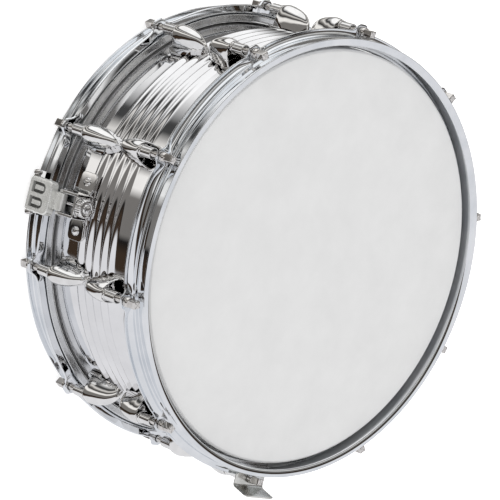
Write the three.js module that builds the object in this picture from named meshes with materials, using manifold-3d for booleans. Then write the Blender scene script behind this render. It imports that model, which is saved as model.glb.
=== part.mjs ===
// A 14 by 5.5 inch snare drum with a beaded metal shell, ten lugs a side and a lever strainer.
// Millimetres, +Z up. The origin is on the drum's axis, in the plane of the snare-side rim.
// The batter head faces +Z, the strainer faces -Y and the butt plate faces +Y.
// Heights inside the drum group are counted from the shell's mid-depth.

import * as THREE from 'three';
import { mergeVertices } from 'three/addons/utils/BufferGeometryUtils.js';
import Module from 'manifold-3d';

// ---- Driving dimensions ----

const HALF_HEIGHT = 77.5;
const SEGMENTS = 40;
const GAP = 0.3;

const SHELL_RADIUS = 176.8;
const SHELL_WALL = 1.2;
const SHELL_EDGE = 69.85;
const BEAD_COUNT = 5;
const BEAD_PITCH = 9.8;
const BEAD_HEIGHT = 2.5;

const LUG_COUNT = 10;
const ROD_CIRCLE = 193.4;
const ROD_RADIUS = 2.75;
const ROD_END = 29;
const ROD_HOLE_RADIUS = 3.5;
const EAR_TOP = 61;
const EAR_THICKNESS = 2.4;
const EAR_REACH = 200.4;
const EAR_WIDTH = 13;
const ROD_WASHER_RADIUS = 4.9;
const ROD_WASHER = 1.2;
const ROD_COLLAR_TOP = 4;
const ROD_HEAD_HALF = 3.1;
const ROD_HEAD_TOP = 13.1;
const SLING_THICKNESS = 1.5;
const SLING_HALF_WIDTH = 15.5;

const LUG_AXIS = 188;
const LUG_RISE = 1.12;
const LUG_SINK = 0.84;
const LUG_MOUTH = 35;
const NUT_RADIUS = 4.9;
const NUT_END = 50;
const LUG_PLATE_WIDTH = 22;
const LUG_PLATE_START = 25.2;
const LUG_PLATE_END = 46.5;
const LUG_PLATE_BASE = 177.1;
const LUG_PLATE_THICKNESS = 2.8;
const LUG_SKIRT_BASE = 179.6;
const LUG_OUTLINE = [
  [0, 2], [3, 3.6], [6, 9], [9.2, 19.6], [10.4, 26], [10.8, 30], [10, LUG_MOUTH],
];

const HEAD_FACE = 70.5;
const FILM = 0.35;
const COLLAR_END = 55.4;
const FLESH_BOTTOM = 54.9;
const FLESH_TOP = 61.4;
const STEP_HEIGHT = 63.6;
const WIRE_BAND = 40;
const WIRE_LENGTH = 302;
const WIRE_DEPTH = 1.6;
const END_PLATE_WIDTH = 44;
const END_PLATE_LENGTH = 12;
const STRAP_WIDTH = 20;
const STRAP_TOP = 71.1;
const STRAP_FILM = 0.4;
const GATE_WIDTH = 36;
const GATE_TOP = 68.9;

const FOOT_INNER = 179.6;
const FOOT_THICKNESS = 1.8;
const FOOT_ANGLE = 9.2;
const FOOT_BOTTOM = -34;
const FOOT_TOP = -15;
const ARM_WIDTH = 20;
const FOOT_SCREW_ANGLE = 6.6;
const FOOT_SCREW_RADIUS = 3.9;
const FOOT_SCREW_DOME = 2.2;
const ARM_LIP = 188;
const ARM_OUTSIDE = 196.8;
const ARM_THICKNESS = 2.9;
const ARM_SHELF = -61.4;
const CLAMP_AXIS = 194.5;
const CLAMP_HEIGHT = -70.6;
const CLAMP_RADIUS = 2.9;
const CLAMP_LENGTH = 38;

const CHEEK_INSIDE = 8;
const CHEEK_THICKNESS = 2.5;
const PIVOT_RADIAL = 195.5;
const PIVOT_HEIGHT = -31;
const PIN_RADIUS = 1.8;
const SHELF_TOP = -14.8;
const KNOB_RADIAL = 188.4;
const KNOB_RADIUS = 8;
const KNOB_HEIGHT = 7.6;
const STEM_RADIUS = 1.9;
const STEM_LENGTH = 19;
const CARRIAGE_BACK = 182.4;
const CARRIAGE_FRONT = 190.8;
const CARRIAGE_BOTTOM = -43;
const LEVER_WIDTH = 29;
const LEVER_LENGTH = 28.6;
const LEVER_BOTTOM = -65;
const LEVER_BACK = 197.6;
const LEVER_FRONT = 206;

const VENT_ANGLE = 126;
const VENT_HEIGHT = 38;
const VENT_RADIUS = 5.6;

// ---- Solids, joins and cuts ----

const wasm = await Module();
wasm.setup();

function signedVolume(geometry) {
  const place = geometry.getAttribute('position');
  const index = geometry.getIndex();
  const a = new THREE.Vector3();
  const b = new THREE.Vector3();
  const c = new THREE.Vector3();
  let volume = 0;
  for (let i = 0; i < index.count; i += 3) {
    a.fromBufferAttribute(place, index.getX(i));
    b.fromBufferAttribute(place, index.getX(i + 1));
    c.fromBufferAttribute(place, index.getX(i + 2));
    volume += a.dot(b.cross(c)) / 6;
  }
  return volume;
}

// A geometry's triangles with shared corners merged, slivers dropped and faces pointing out.
function closed(geometry) {
  const bare = geometry.clone();
  bare.deleteAttribute('normal');
  bare.deleteAttribute('uv');
  const merged = mergeVertices(bare, 1e-4);
  const corners = merged.getIndex().array;
  const kept = [];
  for (let i = 0; i < corners.length; i += 3) {
    const [a, b, c] = [corners[i], corners[i + 1], corners[i + 2]];
    if (a !== b && b !== c && c !== a) kept.push(a, b, c);
  }
  merged.setIndex(kept);
  if (signedVolume(merged) < 0) {
    for (let i = 0; i < kept.length; i += 3) [kept[i], kept[i + 1]] = [kept[i + 1], kept[i]];
    merged.setIndex(kept);
  }
  return merged;
}

function solid(geometry) {
  const merged = closed(geometry);
  const vertProperties = new Float32Array(merged.getAttribute('position').array);
  const triVerts = new Uint32Array(merged.getIndex().array);
  return new wasm.Manifold(new wasm.Mesh({ numProp: 3, vertProperties, triVerts }));
}

function surface(manifold) {
  const mesh = manifold.getMesh();
  const geometry = new THREE.BufferGeometry();
  geometry.setAttribute('position', new THREE.Float32BufferAttribute(mesh.vertProperties, 3));
  geometry.setIndex(Array.from(mesh.triVerts));
  geometry.computeVertexNormals();
  return geometry;
}

function join(first, ...others) {
  return surface(others.reduce((whole, other) => whole.add(solid(other)), solid(first)));
}

function cut(first, ...tools) {
  return surface(tools.reduce((whole, tool) => whole.subtract(solid(tool)), solid(first)));
}

// ---- Basic shapes, all along +Z ----

// A profile of [radius, height] points turned about Z. It starts and ends on the axis or closes.
function turned(profile, segments = SEGMENTS) {
  const points = profile.map(([radius, height]) => new THREE.Vector2(radius, height));
  const geometry = new THREE.LatheGeometry(points, segments);
  geometry.rotateX(Math.PI / 2);
  return closed(geometry);
}

function ring(profile, segments) {
  return turned([...profile, profile[0]], segments);
}

function rod(radius, bottom, top, segments = 10) {
  return turned([[0, bottom], [radius, bottom], [radius, top], [0, top]], segments);
}

function box(xLow, xHigh, yLow, yHigh, zLow, zHigh) {
  const geometry = new THREE.BoxGeometry(xHigh - xLow, yHigh - yLow, zHigh - zLow);
  geometry.translate((xLow + xHigh) / 2, (yLow + yHigh) / 2, (zLow + zHigh) / 2);
  return closed(geometry);
}

// An outline drawn as [x, y] points, extruded along +Z from bottom to top.
function plate(outline, bottom, top) {
  const shape = new THREE.Shape(outline.map(([x, y]) => new THREE.Vector2(x, y)));
  const geometry = new THREE.ExtrudeGeometry(shape, { depth: top - bottom, bevelEnabled: false });
  geometry.translate(0, 0, bottom);
  return closed(geometry);
}

// A part of a ring between two angles in degrees, extruded along Z.
function sector(inner, outer, middle, half, bottom, top) {
  const steps = 8;
  const outline = [];
  for (let i = 0; i <= steps; i += 1) {
    const angle = THREE.MathUtils.degToRad(middle - half + (2 * half * i) / steps);
    outline.push([outer * Math.cos(angle), outer * Math.sin(angle)]);
  }
  for (let i = steps; i >= 0; i -= 1) {
    const angle = THREE.MathUtils.degToRad(middle - half + (2 * half * i) / steps);
    outline.push([inner * Math.cos(angle), inner * Math.sin(angle)]);
  }
  return plate(outline, bottom, top);
}

function flipped(geometry) {
  const copy = geometry.clone();
  copy.rotateX(Math.PI);
  return copy;
}

function aboutZ(geometry, degrees) {
  const copy = geometry.clone();
  copy.rotateZ(THREE.MathUtils.degToRad(degrees));
  return copy;
}

// An outline of [y, z] points extruded along X.
function acrossX(outline, low, high) {
  const geometry = plate(outline, low, high);
  const turn = new THREE.Matrix4();
  turn.makeBasis(new THREE.Vector3(0, 1, 0), new THREE.Vector3(0, 0, 1), new THREE.Vector3(1, 0, 0));
  geometry.applyMatrix4(turn);
  return geometry;
}

// An outline of [x, z] points extruded along Y.
function acrossY(outline, low, high) {
  const geometry = plate(outline, -high, -low);
  geometry.rotateX(Math.PI / 2);
  return geometry;
}

// A rod along X on the lever's pivot.
function crossRod(radius, low, high, segments) {
  const geometry = rod(radius, low, high, segments);
  geometry.rotateY(Math.PI / 2);
  geometry.translate(0, PIVOT_RADIAL, PIVOT_HEIGHT);
  return geometry;
}

// ---- Materials and the drum group ----

const FINISHES = {
  chrome: { color: 0xd9dbde, metalness: 1, roughness: 0.06 },
  steel: { color: 0xb9bcc0, metalness: 1, roughness: 0.22 },
  aluminium: { color: 0xc6c8ca, metalness: 1, roughness: 0.35 },
  coatedFilm: { color: 0xdededf, metalness: 0, roughness: 0.75 },
  clearFilm: { color: 0xe6e8ea, metalness: 0, roughness: 0.25 },
  nylon: { color: 0x1b1b1d, metalness: 0, roughness: 0.6 },
  bolt: { color: 0x8f8a86, metalness: 1, roughness: 0.3 },
};

const drum = new THREE.Group();
const snareDrum = new THREE.Group();
drum.position.z = HALF_HEIGHT;
snareDrum.add(drum);

function add(name, geometry, finish, degrees = 0) {
  const mesh = new THREE.Mesh(geometry, new THREE.MeshStandardMaterial(FINISHES[finish]));
  mesh.name = name;
  mesh.rotation.z = THREE.MathUtils.degToRad(degrees);
  drum.add(mesh);
}

// ---- Shell: a rolled tube with raised beads round its middle and turned-in bearing edges ----

function shellGeometry() {
  const half = (BEAD_COUNT * BEAD_PITCH) / 2;
  const beads = [[0, -half]];
  for (let i = 0; i < BEAD_COUNT; i += 1) {
    const crest = -half + (i + 0.5) * BEAD_PITCH;
    beads.push([BEAD_HEIGHT, crest]);
    beads.push([0, crest + BEAD_PITCH / 2]);
  }
  const inside = SHELL_RADIUS - SHELL_WALL;
  const edge = [[SHELL_RADIUS, 66.4], [175.2, 69.4], [173.2, SHELL_EDGE], [169.7, 68]];
  const lip = [[173.4, 68.5], [inside, 65.6]];
  const outer = [
    ...[...edge].reverse().map(([radius, height]) => [radius, -height]),
    ...beads.map(([rise, height]) => [SHELL_RADIUS + rise, height]),
    ...edge,
  ];
  const inner = [
    ...lip,
    ...[...beads].reverse().map(([rise, height]) => [inside + rise, height]),
    ...[...lip].reverse().map(([radius, height]) => [radius, -height]),
  ];
  const hole = rod(VENT_RADIUS, 170, 185, 12);
  hole.rotateY(Math.PI / 2);
  hole.translate(0, 0, VENT_HEIGHT);
  return cut(ring([...outer, ...inner]), aboutZ(hole, VENT_ANGLE));
}

function ventGrommetGeometry() {
  const profile = [
    [3.6, 173.8], [7, 173.8], [7, 175], [5.2, 175], [5.2, 177.2], [8.2, 177.2], [7.6, 178.6], [3.6, 178.6],
  ];
  const grommet = ring(profile, 16);
  grommet.rotateY(Math.PI / 2);
  grommet.translate(0, 0, VENT_HEIGHT);
  return aboutZ(grommet, VENT_ANGLE);
}

add('shell', shellGeometry(), 'chrome');
add('vent_grommet', ventGrommetGeometry(), 'chrome');

// ---- Heads: a film with a collar, held in an aluminium flesh hoop ----

function headGeometry() {
  const inside = HEAD_FACE - FILM;
  return turned([
    [0, inside], [174.2, inside], [177.6, 68.6], [178.3, COLLAR_END],
    [178.7, COLLAR_END], [178, 68.8], [174.4, HEAD_FACE], [0, HEAD_FACE],
  ]);
}

function fleshHoopGeometry() {
  return ring([
    [179.1, FLESH_BOTTOM], [184.9, FLESH_BOTTOM], [184.9, FLESH_TOP], [179.1, FLESH_TOP],
  ]);
}

// ---- Counter hoops: pressed sheet with three flanges, ten ears and, on one, two snare gates ----

function earGeometry() {
  const half = EAR_WIDTH / 2;
  const outline = [[186.8, -half], [EAR_REACH, -half + 3], [EAR_REACH, half - 3], [186.8, half]];
  return plate(outline, EAR_TOP - EAR_THICKNESS, EAR_TOP);
}

function rodHoleGeometry() {
  const hole = rod(ROD_HOLE_RADIUS, EAR_TOP - 8, EAR_TOP + 3, 8);
  hole.translate(ROD_CIRCLE, 0, 0);
  return hole;
}

function hoopGeometry(withGates) {
  const body = solid(ring([
    [192.6, 56], [193.4, 57.8], [188, 60], [187.3, STEP_HEIGHT], [184.2, STEP_HEIGHT + 1],
    [184.2, 74.9], [188.3, 75.8], [188.3, HALF_HEIGHT], [184.3, HALF_HEIGHT], [182.7, 76.5], [182, 74.4],
    [182, STEP_HEIGHT - 0.8], [185.4, STEP_HEIGHT - 1.6], [185.4, 58.6],
  ]));
  let whole = body;
  const ears = [];
  for (let i = 0; i < LUG_COUNT; i += 1) ears.push((i * 360) / LUG_COUNT);
  for (const angle of ears) whole = whole.add(solid(aboutZ(earGeometry(), angle)));
  for (const angle of ears) whole = whole.subtract(solid(aboutZ(rodHoleGeometry(), angle)));
  if (withGates) {
    const half = GATE_WIDTH / 2;
    whole = whole.subtract(solid(box(-half, half, -200, -170, GATE_TOP, HALF_HEIGHT + 2)));
    whole = whole.subtract(solid(box(-half, half, 170, 200, GATE_TOP, HALF_HEIGHT + 2)));
  }
  return surface(whole);
}

add('batter_head', headGeometry(), 'coatedFilm');
add('resonant_head', flipped(headGeometry()), 'clearFilm');
add('batter_flesh_hoop', fleshHoopGeometry(), 'aluminium');
add('resonant_flesh_hoop', flipped(fleshHoopGeometry()), 'aluminium');
add('batter_hoop', hoopGeometry(false), 'chrome');
add('resonant_hoop', flipped(hoopGeometry(true)), 'chrome');

// ---- Lugs: a bullet body with a skirt down to the beads, a foot plate and a swivel nut ----

function lugGeometry() {
  const bullet = turned([...LUG_OUTLINE, [0, LUG_MOUTH]], 10);
  const place = bullet.getAttribute('position');
  for (let i = 0; i < place.count; i += 1) {
    const outward = place.getX(i);
    place.setX(i, outward * (outward > 0 ? LUG_RISE : LUG_SINK));
  }
  bullet.translate(LUG_AXIS, 0, 0);
  const left = LUG_OUTLINE.map(([reach, height]) => [-height, reach]);
  const right = LUG_OUTLINE.slice(1).map(([reach, height]) => [-height, -reach]);
  const skirt = plate([...left, ...right.reverse()], LUG_SKIRT_BASE, LUG_AXIS);
  skirt.rotateY(Math.PI / 2);
  const nut = rod(NUT_RADIUS, 28, NUT_END, 8);
  nut.translate(ROD_CIRCLE, 0, 0);
  const half = LUG_PLATE_WIDTH / 2;
  const foot = plate([
    [-LUG_PLATE_START, -half], [-LUG_PLATE_START, half], [-40, half], [-LUG_PLATE_END, half * 0.4],
    [-LUG_PLATE_END, -half * 0.4], [-40, -half],
  ], LUG_PLATE_BASE, LUG_PLATE_BASE + LUG_PLATE_THICKNESS);
  foot.rotateY(Math.PI / 2);
  const whole = join(bullet, skirt, nut, foot);
  const bore = rod(ROD_HOLE_RADIUS, ROD_END - 1.5, NUT_END + 2, 6);
  bore.translate(ROD_CIRCLE, 0, 0);
  return cut(whole, bore);
}

// ---- Tension rods: a thread, a washer, a collar and a square head ----

function tensionRodGeometry(lift) {
  const base = EAR_TOP + GAP + lift;
  const shaft = turned([
    [0, ROD_END], [ROD_RADIUS, ROD_END], [ROD_RADIUS, base], [ROD_WASHER_RADIUS, base],
    [ROD_WASHER_RADIUS, base + ROD_WASHER], [4.2, base + ROD_COLLAR_TOP], [0, base + ROD_COLLAR_TOP],
  ], 8);
  const half = ROD_HEAD_HALF;
  const head = box(-half, half, -half, half, base + ROD_COLLAR_TOP - 0.2, base + ROD_HEAD_TOP);
  const whole = join(shaft, head);
  whole.translate(ROD_CIRCLE, 0, 0);
  return whole;
}

const lug = lugGeometry();
const rodPlain = tensionRodGeometry(0);
const rodRaised = tensionRodGeometry(SLING_THICKNESS + GAP);
for (let i = 0; i < LUG_COUNT; i += 1) {
  const angle = (i * 360) / LUG_COUNT;
  const number = i + 1;
  add(`batter_lug_${number}`, lug, 'chrome', angle);
  add(`resonant_lug_${number}`, flipped(lug), 'chrome', angle);
  add(`batter_rod_${number}`, i === 0 ? rodRaised : rodPlain, 'bolt', angle);
  add(`resonant_rod_${number}`, flipped(rodPlain), 'bolt', angle);
}

// ---- Sling bracket under the first batter rod: a stamped tab with a raised lip ----

function slingGeometry() {
  const low = EAR_TOP + GAP;
  const high = low + SLING_THICKNESS;
  const tab = acrossY([
    [188.8, low], [201.2, low], [205.2, 76.6], [203.7, 77], [200, high], [188.8, high],
  ], -SLING_HALF_WIDTH, SLING_HALF_WIDTH);
  return cut(tab, rodHoleGeometry());
}

add('sling_bracket', slingGeometry(), 'chrome');

// ---- Snare wires: a band of strands between two end plates, on the resonant head ----

function snareWiresGeometry() {
  const top = -HEAD_FACE - GAP;
  const half = WIRE_LENGTH / 2;
  const far = half + END_PLATE_LENGTH;
  const side = END_PLATE_WIDTH / 2;
  const band = box(-WIRE_BAND / 2, WIRE_BAND / 2, -half - 1, half + 1, top - WIRE_DEPTH, top);
  const ends = [box(-side, side, -far, -half, top - 1.2, top), box(-side, side, half, far, top - 1.2, top)];
  return join(band, ...ends);
}

// The strap lies flat under the rim and turns up behind the clamp bar.
function strapGeometry() {
  const start = WIRE_LENGTH / 2 + END_PLATE_LENGTH + GAP;
  const turn = CLAMP_AXIS - CLAMP_RADIUS - GAP;
  const half = STRAP_WIDTH / 2;
  const bottom = STRAP_TOP + STRAP_FILM;
  const flat = box(-half, half, start, turn, -bottom, -STRAP_TOP);
  const end = box(-half, half, turn - STRAP_FILM, turn, -bottom, -64.2);
  return join(flat, end);
}

function clampBarGeometry() {
  const half = CLAMP_LENGTH / 2;
  const bar = turned([
    [0, -half], [2.4, -half], [3.5, -half + 1], [3.5, -half + 3.4], [CLAMP_RADIUS, -half + 3.8],
    [CLAMP_RADIUS, half - 3.8], [3.5, half - 3.4], [3.5, half - 1], [2.4, half], [0, half],
  ], 12);
  bar.rotateY(Math.PI / 2);
  bar.translate(0, CLAMP_AXIS, CLAMP_HEIGHT);
  return bar;
}

add('snare_wires', snareWiresGeometry(), 'steel');
add('butt_strap', strapGeometry(), 'nylon');
add('strainer_strap', strapGeometry(), 'nylon', 180);
add('butt_clamp_bar', clampBarGeometry(), 'bolt');
add('strainer_clamp_bar', clampBarGeometry(), 'bolt', 180);

// ---- The arm that reaches over the counter hoop to a clamp lip, built on the +Y side ----

function clampArm(top) {
  const half = ARM_WIDTH / 2;
  const strapInside = CLAMP_AXIS - CLAMP_RADIUS - STRAP_FILM - 2 * GAP;
  const lip = box(-half, half, ARM_LIP, strapInside, -STRAP_TOP + GAP, ARM_SHELF);
  const shelf = box(-half, half, ARM_LIP, ARM_OUTSIDE, ARM_SHELF - 2.2, ARM_SHELF);
  const outer = box(-half, half, ARM_OUTSIDE - ARM_THICKNESS, ARM_OUTSIDE, ARM_SHELF - 2.2, top);
  return [lip, shelf, outer];
}

// A curved foot on the beads with two domed screw heads.
function footPieces() {
  const outer = FOOT_INNER + FOOT_THICKNESS;
  const pieces = [sector(FOOT_INNER, outer, 90, FOOT_ANGLE, FOOT_BOTTOM, FOOT_TOP)];
  for (const side of [-1, 1]) {
    const screw = turned([
      [0, outer - 0.8], [FOOT_SCREW_RADIUS, outer - 0.8], [FOOT_SCREW_RADIUS - 0.2, outer + 1],
      [FOOT_SCREW_RADIUS / 2, outer + FOOT_SCREW_DOME - 0.2], [0, outer + FOOT_SCREW_DOME],
    ], 10);
    screw.rotateX(-Math.PI / 2);
    screw.translate(0, 0, (FOOT_BOTTOM + FOOT_TOP) / 2);
    pieces.push(aboutZ(screw, side * FOOT_SCREW_ANGLE));
  }
  return pieces;
}

// ---- Butt plate: a foot on the shell with a fixed clamp arm ----

function buttGeometry() {
  const half = ARM_WIDTH / 2;
  const web = box(-half, half, FOOT_INNER + 1, ARM_OUTSIDE, -30, -20);
  const hollow = box(-half + 2, half - 2, FOOT_INNER + 3, ARM_OUTSIDE - ARM_THICKNESS, -31, -22);
  return join(cut(web, hollow), ...footPieces(), ...clampArm(-20));
}

add('butt_plate', buttGeometry(), 'chrome');

// ---- Strainer base: foot, two cheeks for the lever pin and a shelf for the knob ----

function strainerBaseGeometry() {
  const outside = CHEEK_INSIDE + CHEEK_THICKNESS;
  const root = FOOT_INNER + 1;
  const outline = [
    [root, -39], [190, -39], [199, -34], [199, -27], [196, SHELF_TOP], [root, SHELF_TOP],
  ];
  const pieces = [];
  for (const side of [-outside, CHEEK_INSIDE]) pieces.push(acrossX(outline, side, side + CHEEK_THICKNESS));
  pieces.push(box(-outside, outside, root, 196, SHELF_TOP - 2.2, SHELF_TOP));
  const whole = join(...footPieces(), ...pieces);
  const pinHole = crossRod(PIN_RADIUS + 0.4, -outside - 1, outside + 1, 12);
  const stemHole = rod(STEM_RADIUS + 0.6, SHELF_TOP - 3, SHELF_TOP + 1, 10);
  stemHole.translate(0, KNOB_RADIAL, 0);
  return cut(whole, pinHole, stemHole);
}

// ---- Strainer carriage: slides along the drum between the cheeks and carries the clamp ----

function carriageGeometry() {
  const half = CHEEK_INSIDE - 0.6;
  const post = box(-half, half, CARRIAGE_BACK, CARRIAGE_FRONT, CARRIAGE_BOTTOM, -22);
  const slot = box(-STEM_RADIUS - 0.5, STEM_RADIUS + 0.5, KNOB_RADIAL - STEM_RADIUS - 0.5, 193, -36, -21);
  const shelf = box(-half, half, CARRIAGE_BACK, ARM_OUTSIDE, CARRIAGE_BOTTOM, CARRIAGE_BOTTOM + 3);
  return join(cut(post, slot), shelf, ...clampArm(CARRIAGE_BOTTOM + 3));
}

// ---- Throw-off lever: a thumb block below the pin with two arched grip recesses ----

function leverGeometry() {
  const tongueHalf = CHEEK_INSIDE - 0.6;
  const half = LEVER_WIDTH / 2;
  const top = LEVER_BOTTOM + LEVER_LENGTH;
  const tongue = box(-tongueHalf, tongueHalf, 193, 200.5, top - 2, PIVOT_HEIGHT + 3.5);
  const block = acrossY([
    [-half, LEVER_BOTTOM + 3], [-half + 3, LEVER_BOTTOM], [half - 3, LEVER_BOTTOM], [half, LEVER_BOTTOM + 3],
    [half, top - 4], [half - 4, top], [-half + 4, top], [-half, top - 4],
  ], LEVER_BACK, LEVER_FRONT);
  const recesses = [];
  for (const side of [-1, 1]) {
    const middle = side * 6;
    const low = LEVER_BOTTOM + 5;
    const arch = [[middle - 3.4, low], [middle + 3.4, low], [middle + 3.4, low + 11]];
    arch.push([middle + 2, low + 13.6], [middle - 2, low + 13.6], [middle - 3.4, low + 11]);
    recesses.push(acrossY(arch, LEVER_FRONT - 1.6, LEVER_FRONT + 1));
  }
  const pinHole = crossRod(PIN_RADIUS + 0.4, -tongueHalf - 1, tongueHalf + 1, 12);
  return cut(join(tongue, block), pinHole, ...recesses);
}

// ---- Knob with its adjusting stem ----

function knobGeometry() {
  const low = SHELF_TOP + 0.6;
  const top = low + KNOB_HEIGHT;
  const knob = turned([
    [0, low - STEM_LENGTH], [STEM_RADIUS, low - STEM_LENGTH], [STEM_RADIUS, low], [KNOB_RADIUS, low],
    [KNOB_RADIUS, top - 1.8], [KNOB_RADIUS - 1.4, top - 0.6], [4.2, top - 0.6], [3.2, top], [0, top + 0.5],
  ], 16);
  knob.translate(0, KNOB_RADIAL, 0);
  return knob;
}

add('strainer_base', strainerBaseGeometry(), 'chrome', 180);
add('strainer_carriage', carriageGeometry(), 'steel', 180);
add('strainer_lever', leverGeometry(), 'chrome', 180);
add('lever_pin', crossRod(PIN_RADIUS, -11.6, 11.6, 10), 'steel', 180);
add('strainer_knob', knobGeometry(), 'chrome', 180);

export default snareDrum;
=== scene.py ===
"""Looks for the snare drum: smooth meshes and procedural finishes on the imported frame.

Shapes are drawn in millimetres. Heights are counted from the shell's mid-depth, which sits at the
shell's box centre. Pieces are drawn at angle 0 (+X) or on the +Y side and then turned into place.
"""

import math

import bmesh
import bpy
import numpy as np
from mathutils import Matrix, Vector


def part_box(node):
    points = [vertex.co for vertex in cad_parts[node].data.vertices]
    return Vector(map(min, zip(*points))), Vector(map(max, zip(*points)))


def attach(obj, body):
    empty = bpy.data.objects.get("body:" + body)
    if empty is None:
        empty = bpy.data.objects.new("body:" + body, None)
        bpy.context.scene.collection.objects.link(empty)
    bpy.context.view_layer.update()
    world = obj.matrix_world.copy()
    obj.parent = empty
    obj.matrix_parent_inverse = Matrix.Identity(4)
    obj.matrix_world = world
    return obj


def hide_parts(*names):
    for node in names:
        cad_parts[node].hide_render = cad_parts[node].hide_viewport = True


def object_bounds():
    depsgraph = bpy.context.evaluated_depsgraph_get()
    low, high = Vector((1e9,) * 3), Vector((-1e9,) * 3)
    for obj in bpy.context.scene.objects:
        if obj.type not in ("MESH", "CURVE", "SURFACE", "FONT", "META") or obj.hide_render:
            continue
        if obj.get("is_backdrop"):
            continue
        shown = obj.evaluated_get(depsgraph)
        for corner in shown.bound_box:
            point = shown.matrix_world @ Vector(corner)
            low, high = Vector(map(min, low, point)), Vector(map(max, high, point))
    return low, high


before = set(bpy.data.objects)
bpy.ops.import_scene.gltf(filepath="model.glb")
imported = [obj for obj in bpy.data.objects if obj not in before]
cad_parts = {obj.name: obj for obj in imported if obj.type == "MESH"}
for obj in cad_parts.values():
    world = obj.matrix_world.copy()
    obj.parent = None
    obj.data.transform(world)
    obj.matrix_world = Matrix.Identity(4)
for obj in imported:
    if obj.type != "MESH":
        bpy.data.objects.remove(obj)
cad_low, cad_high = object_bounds()

MM = 0.001
TAU = 2 * math.pi

shell_low, shell_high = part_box("shell")
MID = (shell_low.z + shell_high.z) / 2
CENTRE = Matrix.Translation((0, 0, MID))
FLIP = Matrix.Rotation(math.pi, 4, "X")
LUG_COUNT = 10
LUG_SPACING = TAU / LUG_COUNT
LUG_ANGLES = [LUG_SPACING * i for i in range(LUG_COUNT)]
ROD_CIRCLE = sum(c.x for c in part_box("batter_rod_1")) / 2 / MM


# ---- Mesh helpers: a part is (points, faces) in millimetres ----


def fillet(points, radius, steps=4, closed=True):
    """A polyline with its corners rounded. radius is one number or one for each corner."""
    points = [np.array(p, float) for p in points]
    n = len(points)
    radii = [radius] * n if np.isscalar(radius) else list(radius)
    out = []
    for i, corner in enumerate(points):
        if not closed and i in (0, n - 1) or radii[i] <= 0:
            out.append(corner)
            continue
        before, after = points[i - 1] - corner, points[(i + 1) % n] - corner
        reach_before, reach_after = np.linalg.norm(before), np.linalg.norm(after)
        before, after = before / reach_before, after / reach_after
        half = math.acos(max(-1, min(1, float(before @ after)))) / 2
        if half > math.pi / 2 - 0.01:
            out.append(corner)
            continue
        length = min(radii[i] / math.tan(half), 0.46 * reach_before, 0.46 * reach_after)
        start, end = corner + before * length, corner + after * length
        for k in range(steps + 1):
            t = k / steps
            out.append((1 - t) ** 2 * start + 2 * t * (1 - t) * corner + t**2 * end)
    return np.array(out)


def dense(points, step):
    """A polyline with its long stretches divided."""
    out = []
    for a, b in zip(points[:-1], points[1:]):
        count = max(1, int(math.ceil(np.linalg.norm(b - a) / step)))
        out += [a + (b - a) * k / count for k in range(count)]
    out.append(points[-1])
    return np.array(out)


def grid_faces(rows, columns, wrap_rows, wrap_columns):
    """Quads between neighbours of a rows by columns grid of points."""
    i, j = np.meshgrid(
        np.arange(rows if wrap_rows else rows - 1),
        np.arange(columns if wrap_columns else columns - 1),
        indexing="ij",
    )
    i2, j2 = (i + 1) % rows, (j + 1) % columns
    quads = np.stack([i * columns + j, i * columns + j2, i2 * columns + j2, i2 * columns + j], -1)
    return [tuple(q) for q in quads.reshape(-1, 4).tolist()]


def lathe(profile, angles, closed=True):
    """A profile of (radius, height) points turned about Z through the angles."""
    profile = np.array(profile, float)
    angles = np.array(angles, float)
    radius, height = profile[:, 0], profile[:, 1]
    points = np.stack(
        [
            np.outer(np.cos(angles), radius),
            np.outer(np.sin(angles), radius),
            np.outer(np.ones(len(angles)), height),
        ],
        -1,
    ).reshape(-1, 3)
    return points, grid_faces(len(angles), len(profile), True, closed)


def round_angles(count):
    return np.arange(count) * TAU / count


def ring(profile, segments):
    return lathe(profile, round_angles(segments))


def spindle(profile, segments):
    """A solid turned shape. The profile runs from the axis to the axis."""
    profile = np.array(profile, float)
    points, faces = lathe(profile[1:-1], round_angles(segments), closed=False)
    rows = len(profile) - 2
    low, high = len(points), len(points) + 1
    points = np.vstack([points, [0, 0, profile[0][1]], [0, 0, profile[-1][1]]])
    for i in range(segments):
        j = (i + 1) % segments
        faces.append((low, j * rows, i * rows))
        faces.append((high, i * rows + rows - 1, j * rows + rows - 1))
    return points, faces


def loft(loops):
    """Closed loops of the same count joined in turn, with both ends closed by fans."""
    count = len(loops[0])
    points = np.vstack(loops + [loops[0].mean(0), loops[-1].mean(0)])
    faces = grid_faces(len(loops), count, False, True)
    low, high = len(points) - 2, len(points) - 1
    last = (len(loops) - 1) * count
    for i in range(count):
        j = (i + 1) % count
        faces.append((low, j, i))
        faces.append((high, last + i, last + j))
    return points, faces


def inset(outline, distance):
    """A closed outline, counter-clockwise, moved inwards."""
    ahead, behind = np.roll(outline, -1, 0), np.roll(outline, 1, 0)
    along = ahead - behind
    along /= np.linalg.norm(along, axis=1)[:, None] + 1e-12
    return outline + distance * np.stack([-along[:, 1], along[:, 0]], -1)


def slab(outline, low, high, bevel=0.5, rings=1, steps=3):
    """An outline in X and Y with height from low to high and rounded edges."""
    outline = np.array(outline, float)
    area = np.sum(outline[:, 0] * np.roll(outline[:, 1], -1) - np.roll(outline[:, 0], -1) * outline[:, 1])
    if area < 0:
        outline = outline[::-1]
    middle = outline.mean(0)
    loops = []

    def level(shape, z):
        loops.append(np.column_stack([shape, np.full(len(shape), z)]))

    face = inset(outline, bevel)
    for k in range(1, rings + 1):
        level(middle + (face - middle) * k / rings, low)
    for k in range(1, steps + 1):
        t = k / steps * math.pi / 2
        level(inset(outline, bevel * (1 - math.sin(t))), low + bevel * (1 - math.cos(t)))
    for k in range(steps + 1):
        t = k / steps * math.pi / 2
        level(inset(outline, bevel * (1 - math.cos(t))), high - bevel * (1 - math.sin(t)))
    for k in range(rings - 1, 0, -1):
        level(middle + (face - middle) * k / rings, high)
    return loft(loops)


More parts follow.
